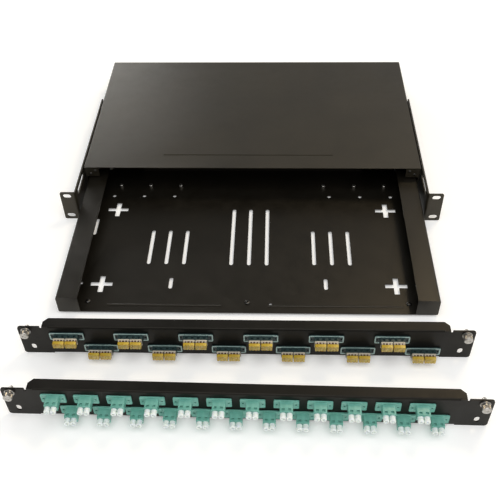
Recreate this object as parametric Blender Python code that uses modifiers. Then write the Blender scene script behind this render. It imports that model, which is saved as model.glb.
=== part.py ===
"""One-unit 19 inch fibre patch panel with a sliding drawer and two changeable adapter plates.

The case carries a drawer that runs out to the front. A front plate with quad adapters stands
ahead of the open drawer and slides onto it, and a second plate with duplex adapters stands
free in front. Sprung plungers on both plates' ears latch into the rack brackets' slots.

Frame: origin at the centre of the case's underside, +X right, +Y to the rear, +Z up. The model
is in metres. The drawer is open, which is the zero of its slide.
"""
import math

import bmesh
import bpy
from mathutils import Matrix, Vector

MM = 0.001
GAP = 0.3 * MM                 # clearance between pieces that touch

# Rack standard: one unit of a 19 inch rack
RACK_W = 482.6 * MM
UNIT_H = 43.7 * MM
RACK_HOLE_X = 232.55 * MM
RACK_HOLE_Z = (5.97 * MM, 37.72 * MM)

# Case: chassis and top cover
CASE_W = 440.6 * MM
CASE_D = 260.5 * MM
CASE_H = 43.2 * MM
SHEET = 1.2 * MM
COVER_T = 1.0 * MM
COVER_LIP = 10.0 * MM
CHASSIS_W = 437.6 * MM
COVER_LINE = (-118.0 * MM, 107.0 * MM)  # groove in the cover, from and to
COVER_LINE_AT = 79.0 * MM      # behind the ears' face
COVER_LINE_SIZE = (1.9 * MM, 0.5 * MM)  # width, depth
CORNER_W = 18.0 * MM           # front corner flanges above the drawer
CORNER_Z = 28.5 * MM
CASE_FRONT = -CASE_D / 2

# Rack brackets: the ear's front face lies ahead of the case
EAR_AHEAD = 52.0 * MM
EAR_FACE = CASE_FRONT - EAR_AHEAD
BRACKET_T = 2.0 * MM
BRACKET_X = 221.0 * MM
BRACKET_L = 211.0 * MM
RACK_SLOT = (10.5 * MM, 6.4 * MM)
SIDE_SLOT_L = 38.0 * MM
SIDE_SLOT_H = 7.0 * MM
SIDE_SLOT_AT = (31.0 * MM, 34.5 * MM)   # behind the ear's face, above the base
SCREW_AT = (100.0 * MM, 22.0 * MM)      # behind the ear's face, above the base

# Drawer tray, in its own frame: Y from the front edge to the rear, Z from its underside
TRAY_W = 432.0 * MM
TRAY_D = 257.0 * MM
TRAY_H = 23.6 * MM
TRAY_Z = 2.7 * MM
TRAY_FLANGE = 25.0 * MM
TRAY_OPEN = 161.0 * MM         # front edge ahead of the ears when open
TRAY_BACK_W = 300.0 * MM
SLOT_W = 4.6 * MM
CROSS_SIZE = 26.0 * MM
CROSS_ARM = 6.2 * MM
CROSS_X = 173.6 * MM
CROSS_Y = (42.7 * MM, 174.7 * MM)
LONG_SLOTS_X = (-21.5 * MM, 0.0, 21.5 * MM)
LONG_SLOT = (75.0 * MM, 176.5 * MM)     # from and to, behind the front edge
SIDE_SLOTS_X = (79.0 * MM, 100.5 * MM, 122.0 * MM)
SIDE_SLOT = (76.0 * MM, 136.0 * MM)
SHORT_SLOT_X = 91.5 * MM
SHORT_SLOT = (36.0 * MM, 54.0 * MM)
EDGE_SLOT_X = -197.3 * MM         # on the left only
EDGE_SLOT = (127.0 * MM, 157.0 * MM)
REAR_HOLES = ((202.0 * MM, (102.5 * MM, 143.0 * MM, 183.0 * MM)),
              (221.0 * MM, (95.5 * MM, 136.0 * MM, 176.0 * MM)))
REAR_HOLE_R = 2.3 * MM
PLATE_SCREW_Y = 15.0 * MM
PLATE_SCREW_X = (-185.0 * MM, 0.0, 185.0 * MM)
PLATE_SCREW_R = 1.7 * MM
SMALL_HOLES = ((26.7 * MM, 13.1 * MM), (-197.6 * MM, 43.6 * MM), (197.6 * MM, 43.6 * MM))

# Runners inside the case
RAIL_Y = (1.6 * MM, 232.0 * MM)         # from and to, behind the case's front edge
RAIL_Z = 27.4 * MM
RAIL_W = 12.0 * MM
RAIL_H = 10.5 * MM
STRIP_X = 204.0 * MM
STRIP_W = 18.0 * MM
STRIP_T = 0.9 * MM

# Cable entries in the rear wall
ENTRY_X = 188.0 * MM
ENTRY_Z = 21.5 * MM
ENTRY_HOLE_R = 10.0 * MM
GROMMET_R = 12.5 * MM
GROMMET_BORE_R = 7.0 * MM
GROMMET_SIDE = 2.2 * MM

# Adapter plates, in their own frame: the front face is Y 0, the lower edge is Z 0
PLATE_T = 1.6 * MM
PLATE_R = 3.5 * MM
FLANGE_TOP = (430.0 * MM, 11.0 * MM, 5.0 * MM)      # width, depth, cut corner
FLANGE_FOOT = (424.0 * MM, 34.0 * MM, 4.0 * MM)
FLANGE_T = 1.5 * MM
RELIEF = (2.4 * MM, 3.4 * MM)           # notch beside the upper fold: width, height
OVAL = (5.5 * MM, 9.0 * MM)
OVAL_X = 229.5 * MM
OVAL_Z = 10.6 * MM
SEAT_AHEAD = 15.0 * MM         # a seated plate's back is this far ahead of the drawer's front edge
QUAD_PLATE_AHEAD = 217.7 * MM  # front face ahead of the ears
DUPLEX_PLATE_AT = (2.5 * MM, 299.0 * MM)            # to the right, ahead of the ears
DUPLEX_PLATE_TURN = math.radians(-0.8)

# Adapters, centred on their rows
ROW_Z = (30.5 * MM, 11.5 * MM)
FIRST_X = -189.75 * MM
ADAPTER_FLANGE_T = 1.6 * MM
ADAPTER_REAR = 13.5 * MM       # behind the plate's back
QUAD_COUNT = 12
QUAD_PITCH = 34.5 * MM
QUAD_FLANGE = (36.8 * MM, 10.6 * MM)
QUAD_BODY = (26.0 * MM, 9.3 * MM)
QUAD_FRONT = 8.0 * MM
QUAD_CAP = (12.2 * MM, 8.0 * MM, 7.0 * MM)
QUAD_CAP_PITCH = 12.8 * MM
QUAD_PORTS = (-9.4 * MM, -3.2 * MM, 3.2 * MM, 9.4 * MM)
DUPLEX_COUNT = 24
DUPLEX_PITCH = 16.5 * MM
DUPLEX_FLANGE = (25.0 * MM, 12.6 * MM)
DUPLEX_BODY = (13.0 * MM, 9.3 * MM)
DUPLEX_FRONT = 12.5 * MM
DUPLEX_CAP_R = 2.95 * MM
DUPLEX_CAP_L = 6.0 * MM
DUPLEX_CAP_PITCH = 6.25 * MM
DUPLEX_PORTS = (-3.12 * MM, 3.12 * MM)
SOCKET = (5.0 * MM, 6.6 * MM, 9.0 * MM)             # width, height, depth from the rear
LATCH_WINDOW = (2.8 * MM, 2.8 * MM, 2.0 * MM)       # width, length, depth from the top
LATCH_WINDOW_AT = 0.9 * MM                          # behind the body's front
ADAPTER_SCREW_R = 1.1 * MM

# Latches on the plates' ears
COLLAR_R = 5.2 * MM
COLLAR_FLANGE = 1.3 * MM
COLLAR_BARREL_R = 3.7 * MM
COLLAR_BORE_R = 2.6 * MM
PLUNGER_HEAD_R = 4.7 * MM
PLUNGER_HEAD_L = 6.5 * MM
PLUNGER_PIN_R = 2.25 * MM
PLUNGER_REACH = 5.5 * MM       # pin behind the plate's back


def clear_scene():
    for old in list(bpy.data.objects):
        bpy.data.objects.remove(old, do_unlink=True)


def collection(name):
    made = bpy.data.collections.new(name)
    bpy.context.scene.collection.children.link(made)
    return made


def material(name, colour, roughness, metallic=0.0):
    made = bpy.data.materials.new(name)
    made.use_nodes = True
    shader = made.node_tree.nodes["Principled BSDF"]
    shader.inputs["Base Color"].default_value = (*colour, 1.0)
    shader.inputs["Roughness"].default_value = roughness
    shader.inputs["Metallic"].default_value = metallic
    return made


def add_box(bm, low, high):
    """A box between two corners."""
    low, high = Vector(low), Vector(high)
    place = Matrix.Translation((low + high) / 2) @ Matrix.Diagonal((*(high - low), 1.0))
    return bmesh.ops.create_cube(bm, size=1.0, matrix=place)["verts"]


def add_round(bm, radius, length, centre, axis="Z", segments=16):
    """A cylinder along one axis."""
    turn = {"X": Matrix.Rotation(math.pi / 2, 4, "Y"), "Y": Matrix.Rotation(math.pi / 2, 4, "X"),
            "Z": Matrix.Identity(4)}[axis]
    half = Matrix.Rotation(math.pi / segments, 4, "Z")
    return bmesh.ops.create_cone(bm, cap_ends=True, segments=segments, radius1=radius,
                                 radius2=radius, depth=length,
                                 matrix=Matrix.Translation(centre) @ turn @ half)["verts"]


def add_slot(bm, width, length, depth, centre, through, along):
    """A round-ended slot: a cylinder whose two halves are pulled apart."""
    verts = add_round(bm, width / 2, depth, (0, 0, 0), through, 12)
    step = "XYZ".index(along)
    for vert in verts:
        vert.co[step] += math.copysign((length - width) / 2, vert.co[step])
        vert.co += Vector(centre)


def round_corners(bm, verts, axis, radius, segments, keep=lambda place: True):
    """Round or cut the edges of a box that run along one axis."""
    step = "XYZ".index(axis)
    edges = [e for e in {e for v in verts for e in v.link_edges}
             if abs(e.verts[0].co[step] - e.verts[1].co[step]) > MM / 2
             and all(abs(e.verts[0].co[i] - e.verts[1].co[i]) < MM / 10
                     for i in range(3) if i != step)
             and keep(e.verts[0].co)]
    bmesh.ops.bevel(bm, geom=edges, offset=radius, segments=segments, profile=0.5,
                    affect="EDGES")


def make(name, bm, home, finish=None, parent=None, location=(0, 0, 0), smooth=False):
    """A named object from a bmesh."""
    mesh = bpy.data.meshes.new(name)
    bm.to_mesh(mesh)
    bm.free()
    made = bpy.data.objects.new(name, mesh)
    home.objects.link(made)
    made.location = location
    made.parent = parent
    if finish:
        mesh.materials.append(finish)
    if smooth:
        mesh.shade_smooth()
        mesh.set_sharp_from_angle(angle=math.radians(40))
    return made


def lathe(name, profile, home, finish, parent=None, location=(0, 0, 0), closed=False, steps=20):
    """A turned piece. The profile gives radius and distance forward, from the front backwards."""
    mesh = bpy.data.meshes.new(name)
    edges = [(i, i + 1) for i in range(len(profile) - 1)]
    if closed:
        edges.append((len(profile) - 1, 0))
    mesh.from_pydata([(r, 0, z) for r, z in profile], edges, [])
    made = bpy.data.objects.new(name, mesh)
    home.objects.link(made)
    made.location = location
    made.rotation_euler = (math.pi / 2, 0, 0)
    made.parent = parent
    mesh.materials.append(finish)
    screw = made.modifiers.new("turn", "SCREW")
    screw.axis = "Z"
    screw.steps = steps
    screw.render_steps = steps
    screw.use_merge_vertices = True
    screw.merge_threshold = 0.00001
    screw.use_smooth_shade = False
    return made


def boolean(target, tool, operation):
    step = target.modifiers.new(tool.name, "BOOLEAN")
    step.operation = operation
    step.solver = "EXACT"
    step.object = tool
    tool.hide_render = True
    tool.display_type = "WIRE"


def group_frame(name, home, location, parent=None, turn=0.0):
    """An empty that carries the pieces of one moving group."""
    made = bpy.data.objects.new(name, None)
    home.objects.link(made)
    made.location = location
    made.rotation_euler = (0, 0, turn)
    made.parent = parent
    return made


def build_case(home, tools, steel):
    floor_z = 0.0
    half = CHASSIS_W / 2
    top = CASE_H - COVER_T - GAP
    bm = bmesh.new()
    add_box(bm, (-half, CASE_FRONT, floor_z), (half, -CASE_FRONT, top))
    open_sides = [f for f in bm.faces if f.normal.z > 0.9 or f.normal.y < -0.9]
    bmesh.ops.delete(bm, geom=open_sides, context="FACES")
    chassis = make("chassis", bm, home, steel)
    wall = chassis.modifiers.new("sheet", "SOLIDIFY")
    wall.thickness = SHEET
    wall.offset = -1.0
    wall.use_even_offset = True

    bm = bmesh.new()
    for side in (-1, 1):
        edge = sorted((side * (half - CORNER_W), side * (half - SHEET / 2)))
        add_box(bm, (edge[0], CASE_FRONT, CORNER_Z), (edge[1], CASE_FRONT + SHEET, top))
    boolean(chassis, make("chassis_corners", bm, tools), "UNION")

    bm = bmesh.new()
    for side in (-1, 1):
        add_round(bm, ENTRY_HOLE_R, 8 * MM, (side * ENTRY_X, -CASE_FRONT - SHEET / 2, ENTRY_Z),
                  "Y", 20)
        add_round(bm, 2.2 * MM, 8 * MM,
                  (side * (half - SHEET / 2), EAR_FACE + SCREW_AT[0], SCREW_AT[1]), "X", 12)
    boolean(chassis, make("chassis_holes", bm, tools), "DIFFERENCE")

    half = CASE_W / 2
    bm = bmesh.new()
    add_box(bm, (-half, CASE_FRONT, CASE_H - COVER_T), (half, -CASE_FRONT, CASE_H))
    cover = make("top_cover", bm, home, steel)
    bm = bmesh.new()
    for side in (-1, 1):
        edge = sorted((side * (half - COVER_T), side * half))
        add_box(bm, (edge[0], CASE_FRONT, CASE_H - COVER_LIP),
                (edge[1], -CASE_FRONT, CASE_H - COVER_T / 2))
    boolean(cover, make("cover_lips", bm, tools), "UNION")
    bm = bmesh.new()
    wide, deep = COVER_LINE_SIZE
    y = EAR_FACE + COVER_LINE_AT
    add_box(bm, (COVER_LINE[0], y - wide / 2, CASE_H - deep), (COVER_LINE[1], y + wide / 2, CASE_H + MM))
    boolean(cover, make("cover_line", bm, tools), "DIFFERENCE")


def build_bracket(side, name, home, tools, steel, nickel):
    """A rack bracket: a side flange along the case and an ear with two rack slots."""
    bm = bmesh.new()
    edge = sorted((side * BRACKET_X, side * RACK_W / 2))
    ear = add_box(bm, (edge[0], EAR_FACE, 0), (edge[1], EAR_FACE + BRACKET_T, UNIT_H))
    round_corners(bm, ear, "Y", 2.5 * MM, 3, lambda place: abs(place.x) > RACK_HOLE_X)
    bracket = make(name, bm, home, steel)

    bm = bmesh.new()
    edge = sorted((side * BRACKET_X, side * (BRACKET_X + BRACKET_T)))
    add_box(bm, (edge[0], EAR_FACE, 0), (edge[1], EAR_FACE + BRACKET_L, UNIT_H))
    boolean(bracket, make(name + "_flange", bm, tools), "UNION")

    bm = bmesh.new()
    for z in RACK_HOLE_Z:
        add_slot(bm, RACK_SLOT[1], RACK_SLOT[0], 10 * MM,
                 (side * RACK_HOLE_X, EAR_FACE + BRACKET_T / 2, z), "Y", "X")
    middle = side * (BRACKET_X + BRACKET_T / 2)
    add_slot(bm, SIDE_SLOT_H, SIDE_SLOT_L, 8 * MM,
             (middle, EAR_FACE + SIDE_SLOT_AT[0], SIDE_SLOT_AT[1]), "X", "Y")
    screw_at = (EAR_FACE + SCREW_AT[0], SCREW_AT[1])
    add_round(bm, 2.2 * MM, 8 * MM, (middle, *screw_at), "X", 12)
    boolean(bracket, make(name + "_slots", bm, tools), "DIFFERENCE")

    head = side * (BRACKET_X + BRACKET_T + GAP)
    screw = lathe(name.replace("rack_bracket", "bracket_screw"),
                  [(0, 2.0 * MM), (2.6 * MM, 2.0 * MM), (3.8 * MM, 0.8 * MM), (3.8 * MM, 0),
                   (1.8 * MM, 0), (1.8 * MM, -5.2 * MM), (0, -5.2 * MM)],
                  home, nickel, None, (head, *screw_at), steps=12)
    screw.rotation_euler = (0, side * math.pi / 2, 0)


def build_runners(side, word, home, steel, nylon):
    """A guide rail over the drawer's flange and a glide strip under its floor."""
    outer = CHASSIS_W / 2 - SHEET - GAP
    y0, y1 = (CASE_FRONT + along for along in RAIL_Y)
    bm = bmesh.new()
    rail_path = [bm.verts.new((side * x, y0, z)) for x, z in
                 ((outer - RAIL_W, RAIL_Z), (outer, RAIL_Z), (outer, RAIL_Z + RAIL_H))]
    profile = [bm.edges.new(rail_path[i:i + 2]) for i in range(2)]
    swept = bmesh.ops.extrude_edge_only(bm, edges=profile)["geom"]
    bmesh.ops.translate(bm, vec=(0, y1 - y0, 0),
                        verts=[g for g in swept if isinstance(g, bmesh.types.BMVert)])
    bmesh.ops.recalc_face_normals(bm, faces=bm.faces)
    upward = next(f for f in bm.faces if abs(f.normal.z) > 0.9)
    if upward.normal.z < 0:
        bmesh.ops.reverse_faces(bm, faces=bm.faces)
    rail = make(word + "_guide_rail", bm, home, steel)
    sheet = rail.modifiers.new("sheet", "SOLIDIFY")
    sheet.thickness = SHEET
    sheet.offset = 1.0
    sheet.use_even_offset = True

    bm = bmesh.new()
    centre = side * STRIP_X
    add_box(bm, (centre - STRIP_W / 2, y0, SHEET + GAP),
            (centre + STRIP_W / 2, y1, SHEET + GAP + STRIP_T))
    make(word + "_glide_strip", bm, home, nylon)


def build_grommet(side, word, home, rubber):
    groove = SHEET / 2 + GAP
    profile = [(GROMMET_BORE_R, groove + GROMMET_SIDE), (GROMMET_R, groove + GROMMET_SIDE),
               (GROMMET_R, groove), (ENTRY_HOLE_R - GAP, groove),
               (ENTRY_HOLE_R - GAP, -groove), (GROMMET_R, -groove),
               (GROMMET_R, -groove - GROMMET_SIDE), (GROMMET_BORE_R, -groove - GROMMET_SIDE)]
    lathe(word + "_cable_grommet", profile, home, rubber, None,
          (side * ENTRY_X, -CASE_FRONT - SHEET / 2, ENTRY_Z), closed=True, steps=20)


def build_tray(home, tools, frame, steel, nickel):
    """The drawer: a floor with channel sides, front tabs and a short rear wall."""
    half = TRAY_W / 2
    bm = bmesh.new()
    points = ((half - TRAY_FLANGE, TRAY_H), (half, TRAY_H), (half, 0),
              (-half, 0), (-half, TRAY_H), (-half + TRAY_FLANGE, TRAY_H))
    verts = [bm.verts.new((x, 0, z)) for x, z in points]
    profile = [bm.edges.new(verts[i:i + 2]) for i in range(len(verts) - 1)]
    swept = bmesh.ops.extrude_edge_only(bm, edges=profile)["geom"]
    bmesh.ops.translate(bm, vec=(0, TRAY_D, 0),
                        verts=[g for g in swept if isinstance(g, bmesh.types.BMVert)])
    bmesh.ops.recalc_face_normals(bm, faces=bm.faces)
    bm.faces.ensure_lookup_table()
    floor = min(bm.faces, key=lambda f: f.calc_center_median().z)
    if floor.normal.z > 0:
        bmesh.ops.reverse_faces(bm, faces=bm.faces)
    tray = make("drawer_tray", bm, home, steel, frame)
    sheet = tray.modifiers.new("sheet", "SOLIDIFY")
    sheet.thickness = SHEET
    sheet.offset = -1.0
    sheet.use_even_offset = True

    bm = bmesh.new()
    for side in (-1, 1):
        edge = sorted((side * (half - TRAY_FLANGE), side * (half - SHEET / 2)))
        add_box(bm, (edge[0], 0, SHEET / 2), (edge[1], SHEET, TRAY_H - SHEET / 2))
    add_box(bm, (-TRAY_BACK_W / 2, TRAY_D - SHEET, SHEET / 2),
            (TRAY_BACK_W / 2, TRAY_D, TRAY_H))
    boolean(tray, make("tray_walls", bm, tools, parent=frame), "UNION")

    deep = 8 * MM
    bm = bmesh.new()
    add_slots(bm, LONG_SLOTS_X, LONG_SLOT, deep)
    add_slots(bm, [EDGE_SLOT_X], EDGE_SLOT, deep)
    for side in (-1, 1):
        add_slots(bm, [side * x for x in SIDE_SLOTS_X], SIDE_SLOT, deep)
        add_slots(bm, [side * SHORT_SLOT_X], SHORT_SLOT, deep)
        for y, places in REAR_HOLES:
            for x in places:
                add_round(bm, REAR_HOLE_R, deep, (side * x, y, 0), "Z", 12)
        for y in CROSS_Y:
            x = side * CROSS_X
            add_box(bm, (x - CROSS_SIZE / 2, y - CROSS_ARM / 2, -deep / 2),
                    (x + CROSS_SIZE / 2, y + CROSS_ARM / 2, deep / 2))
    for x in PLATE_SCREW_X:
        add_round(bm, PLATE_SCREW_R, deep, (x, PLATE_SCREW_Y, 0), "Z", 12)
    for x, y in SMALL_HOLES:
        add_round(bm, PLATE_SCREW_R, deep, (x, y, 0), "Z", 12)
    boolean(tray, make("tray_cut_outs", bm, tools, parent=frame), "DIFFERENCE")

    bm = bmesh.new()
    for side in (-1, 1):
        for y in CROSS_Y:
            x = side * CROSS_X
            add_box(bm, (x - CROSS_ARM / 2, y - CROSS_SIZE / 2, -deep / 2),
                    (x + CROSS_ARM / 2, y + CROSS_SIZE / 2, deep / 2))
    boolean(tray, make("tray_cross_arms", bm, tools, parent=frame), "DIFFERENCE")

    head = SHEET + GAP
    screw = lathe("tray_centre_screw",
                  [(0, head + 1.6 * MM), (2.2 * MM, head + 1.6 * MM), (3.2 * MM, head + 0.7 * MM),
                   (3.2 * MM, head), (1.35 * MM, head), (1.35 * MM, 0.2 * MM), (0, 0.2 * MM)],
                  home, nickel, frame, (0, PLATE_SCREW_Y, 0), steps=12)
    screw.rotation_euler = (0, 0, 0)


def add_slots(bm, places_x, span, deep):
    middle, length = (span[0] + span[1]) / 2, span[1] - span[0]
    for x in places_x:
        add_slot(bm, SLOT_W, length, deep, (x, middle, 0), "Z", "Y")


def add_flange(bm, size, low_z):
    """A fold along the plate's back with cut rear corners."""
    width, depth, cut = size
    fold = add_box(bm, (-width / 2, PLATE_T / 2, low_z),
                   (width / 2, PLATE_T + depth, low_z + FLANGE_T))
    round_corners(bm, fold, "Z", cut, 1, lambda place: place.y > PLATE_T)


def build_plate(name, home, tools, frame, steel, cut_out, places):
    """A front plate with a fold above, a foot fold below and a cut-out for each adapter."""
    bm = bmesh.new()
    face = add_box(bm, (-RACK_W / 2, 0, 0), (RACK_W / 2, PLATE_T, UNIT_H))
    round_corners(bm, face, "Y", PLATE_R, 3)
    plate = make(name, bm, home, steel, frame)

    bm = bmesh.new()
    add_flange(bm, FLANGE_TOP, UNIT_H - FLANGE_T)
    add_flange(bm, FLANGE_FOOT, 0)
    boolean(plate, make(name + "_folds", bm, tools, parent=frame), "UNION")

    bm = bmesh.new()
    wide, tall = cut_out[0] / 2 + GAP, cut_out[1] / 2 + GAP
    for x, z in places:
        add_box(bm, (x - wide, -2 * MM, z - tall), (x + wide, PLATE_T + 2 * MM, z + tall))
    for side in (-1, 1):
        add_round(bm, COLLAR_BARREL_R + GAP, 6 * MM,
                  (side * RACK_HOLE_X, PLATE_T / 2, RACK_HOLE_Z[1]), "Y", 16)
        add_slot(bm, OVAL[0], OVAL[1], 6 * MM, (side * OVAL_X, PLATE_T / 2, OVAL_Z), "Y", "Z")
        notch = side * (FLANGE_TOP[0] + RELIEF[0]) / 2
        add_box(bm, (notch - RELIEF[0] / 2, -2 * MM, UNIT_H - RELIEF[1]),
                (notch + RELIEF[0] / 2, PLATE_T + 2 * MM, UNIT_H + MM))
    for x in PLATE_SCREW_X:
        add_round(bm, PLATE_SCREW_R, 6 * MM,
                  (x, PLATE_T + SEAT_AHEAD + PLATE_SCREW_Y, FLANGE_T / 2), "Z", 12)
    boolean(plate, make(name + "_holes", bm, tools, parent=frame), "DIFFERENCE")


def build_latch(side, words, home, frame, nickel):
    """A collar fixed in the plate's ear and the plunger that slides in it."""
    place = (side * RACK_HOLE_X, 0, RACK_HOLE_Z[1])
    front = GAP + COLLAR_FLANGE
    lathe(words + "_latch_collar",
          [(COLLAR_BORE_R, front), (COLLAR_R, front), (COLLAR_R, GAP), (COLLAR_BARREL_R, GAP),
           (COLLAR_BARREL_R, -PLATE_T), (COLLAR_BORE_R, -PLATE_T)],
          home, nickel, frame, place, closed=True)
    head = front + GAP
    lathe(words + "_latch_plunger",
          [(0, head + PLUNGER_HEAD_L), (PLUNGER_HEAD_R - 0.8 * MM, head + PLUNGER_HEAD_L),
           (PLUNGER_HEAD_R, head + PLUNGER_HEAD_L - 0.8 * MM), (PLUNGER_HEAD_R, head),
           (PLUNGER_PIN_R, head), (PLUNGER_PIN_R, 1 * MM - PLATE_T - PLUNGER_REACH),
           (PLUNGER_PIN_R - 0.8 * MM, -PLATE_T - PLUNGER_REACH),
           (0, -PLATE_T - PLUNGER_REACH)],
          home, nickel, frame, place)


def adapter_places(count, pitch):
    """Adapters alternate between the upper and the lower row."""
    return [(FIRST_X + pitch * i, ROW_Z[i % 2]) for i in range(count)]


def build_adapter(name, home, tools, frame, plastic, place, kind):
    """A flanged adapter through the plate, joined to the dust caps in its front."""
    flange, body, front, ports, add_caps = kind
    spot = (place[0], 0, place[1])
    rear = PLATE_T + ADAPTER_REAR
    top = body[1] / 2
    bm = bmesh.new()
    add_box(bm, (-body[0] / 2, -front, -top), (body[0] / 2, rear, top))
    adapter = make(name, bm, home, plastic, frame, spot)

    bm = bmesh.new()
    add_box(bm, (-flange[0] / 2, -GAP - ADAPTER_FLANGE_T, -flange[1] / 2),
            (flange[0] / 2, -GAP, flange[1] / 2))
    boolean(adapter, make(name + "_flange", bm, tools, None, frame, spot), "UNION")

    bm = bmesh.new()
    for side in (-1, 1):
        add_round(bm, ADAPTER_SCREW_R, 8 * MM, (side * (body[0] + flange[0]) / 4, 0, 0), "Y", 8)
    wide, tall, deep = SOCKET
    across, along, down = LATCH_WINDOW
    window = LATCH_WINDOW_AT - front
    for x in ports:
        add_box(bm, (x - wide / 2, rear - deep, -tall / 2), (x + wide / 2, rear + MM, tall / 2))
        add_box(bm, (x - across / 2, window, top - down), (x + across / 2, window + along, top + MM))
    boolean(adapter, make(name + "_openings", bm, tools, None, frame, spot), "DIFFERENCE")

    bm = bmesh.new()
    add_caps(bm)
    boolean(adapter, make(name + "_caps", bm, tools, None, frame, spot), "UNION")


def add_quad_caps(bm):
    wide, tall, out = QUAD_CAP
    for side in (-1, 1):
        x = side * QUAD_CAP_PITCH / 2
        add_box(bm, (x - wide / 2, -QUAD_FRONT - out, -tall / 2),
                (x + wide / 2, MM - QUAD_FRONT, tall / 2))


def add_duplex_caps(bm):
    for side in (-1, 1):
        middle = -DUPLEX_FRONT - DUPLEX_CAP_L / 2 + MM / 2
        add_round(bm, DUPLEX_CAP_R, DUPLEX_CAP_L + MM,
                  (side * DUPLEX_CAP_PITCH / 2, middle, 0), "Y", 10)


def build():
    clear_scene()
    home = collection("patch_panel")
    tools = collection("cutters")
    steel = material("black_steel", (0.018, 0.017, 0.016), 0.45)
    nickel = material("nickel", (0.62, 0.62, 0.60), 0.28, 1.0)
    nylon = material("nylon", (0.78, 0.77, 0.72), 0.5)
    rubber = material("rubber", (0.03, 0.03, 0.03), 0.8)
    quad_plastic = material("quad_adapter", (0.16, 0.38, 0.36), 0.45)
    duplex_plastic = material("duplex_adapter", (0.10, 0.52, 0.43), 0.4)

    build_case(home, tools, steel)
    for side, word in ((-1, "left"), (1, "right")):
        build_bracket(side, word + "_rack_bracket", home, tools, steel, nickel)
        build_runners(side, word, home, steel, nylon)
        build_grommet(side, word, home, rubber)

    drawer = group_frame("drawer_frame", home, (0, EAR_FACE - TRAY_OPEN, TRAY_Z))
    build_tray(home, tools, drawer, steel, nickel)

    quad_frame = group_frame("quad_plate_frame", home, (0, EAR_FACE - QUAD_PLATE_AHEAD, 0))
    duplex_frame = group_frame("duplex_plate_frame", home,
                               (DUPLEX_PLATE_AT[0], EAR_FACE - DUPLEX_PLATE_AT[1], 0),
                               turn=DUPLEX_PLATE_TURN)
    kinds = (
        ("quad", quad_frame, quad_plastic, QUAD_COUNT, QUAD_PITCH,
         (QUAD_FLANGE, QUAD_BODY, QUAD_FRONT, QUAD_PORTS, add_quad_caps)),
        ("duplex", duplex_frame, duplex_plastic, DUPLEX_COUNT, DUPLEX_PITCH,
         (DUPLEX_FLANGE, DUPLEX_BODY, DUPLEX_FRONT, DUPLEX_PORTS, add_duplex_caps)),
    )
    for word, frame, plastic, count, pitch, kind in kinds:
        places = adapter_places(count, pitch)
        build_plate(word + "_plate", home, tools, frame, steel, kind[1], places)
        for side, hand in ((-1, "left"), (1, "right")):
            build_latch(side, f"{word}_{hand}", home, frame, nickel)
        for i, place in enumerate(places):
            build_adapter(f"lc_{word}_adapter_{i + 1:02d}", home, tools, frame, plastic, place, kind)


build()
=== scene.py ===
"""Looks of a sliding-drawer fibre patch panel and its two adapter plates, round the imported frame.

Metres, +X right, +Y to the rear, +Z up. Places come from the frame's boxes; the sizes named here
are those of the detail that the frame's plain solids don't hold.
"""
import math

import bmesh
import bpy
from mathutils import Matrix, Vector


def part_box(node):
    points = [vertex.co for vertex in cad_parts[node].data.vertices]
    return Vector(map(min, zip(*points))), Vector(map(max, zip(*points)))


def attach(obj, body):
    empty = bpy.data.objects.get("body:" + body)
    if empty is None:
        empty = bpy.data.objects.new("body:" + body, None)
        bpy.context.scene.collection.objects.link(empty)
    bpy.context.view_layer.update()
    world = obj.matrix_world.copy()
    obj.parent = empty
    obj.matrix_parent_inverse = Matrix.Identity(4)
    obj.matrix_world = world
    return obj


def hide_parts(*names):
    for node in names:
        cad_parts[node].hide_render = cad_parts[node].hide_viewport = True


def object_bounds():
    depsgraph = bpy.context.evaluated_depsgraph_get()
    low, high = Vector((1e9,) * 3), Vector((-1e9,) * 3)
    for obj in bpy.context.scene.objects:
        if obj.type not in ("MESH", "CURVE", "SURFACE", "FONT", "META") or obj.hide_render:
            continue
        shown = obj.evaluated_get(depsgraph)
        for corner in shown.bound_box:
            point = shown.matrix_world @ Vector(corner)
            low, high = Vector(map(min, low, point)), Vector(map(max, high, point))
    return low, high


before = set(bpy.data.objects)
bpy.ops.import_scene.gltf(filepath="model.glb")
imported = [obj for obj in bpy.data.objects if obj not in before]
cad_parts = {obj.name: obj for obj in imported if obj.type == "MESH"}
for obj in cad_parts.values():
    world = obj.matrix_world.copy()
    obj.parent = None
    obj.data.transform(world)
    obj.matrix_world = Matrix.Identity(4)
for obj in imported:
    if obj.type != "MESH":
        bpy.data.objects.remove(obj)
CAD_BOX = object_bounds()

MM = 0.001
EPS = 0.02 * MM
SEATING = 0.05 * MM                             # keeps a screw's head clear of its sheet
RIGHT, LEFT = 1, -1

# ---------------------------------------------------------------- places read from the frame
COVER_LO, COVER_HI = (Vector(c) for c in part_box("top_cover"))
CHASSIS_LO, CHASSIS_HI = (Vector(c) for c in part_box("chassis"))
BRACKET_LO, BRACKET_HI = (Vector(c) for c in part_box("right_rack_bracket"))
TRAY_LO, TRAY_HI = (Vector(c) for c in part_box("drawer_tray"))
PLATE_LO, PLATE_HI = (Vector(c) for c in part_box("quad_plate"))
GROMMET_LO, GROMMET_HI = (Vector(c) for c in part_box("right_cable_grommet"))
SCREW_LO, SCREW_HI = (Vector(c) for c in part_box("right_bracket_screw"))
TRAY_SCREW_LO, TRAY_SCREW_HI = (Vector(c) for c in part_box("tray_centre_screw"))
LATCH_LO, LATCH_HI = (Vector(c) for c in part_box("quad_right_latch_plunger"))
COLLAR_LO, COLLAR_HI = (Vector(c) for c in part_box("quad_right_latch_collar"))

EAR_FACE = BRACKET_LO.y
RACK_HALF = PLATE_HI.x
UNIT_H = PLATE_HI.z
RACK_HOLE = ((LATCH_LO.x + LATCH_HI.x) / 2, (LATCH_LO.z + LATCH_HI.z) / 2)
RACK_SLOT_DROP = 31.75 * MM
RACK_SLOT = (10.5 * MM, 6.4 * MM)

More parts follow.
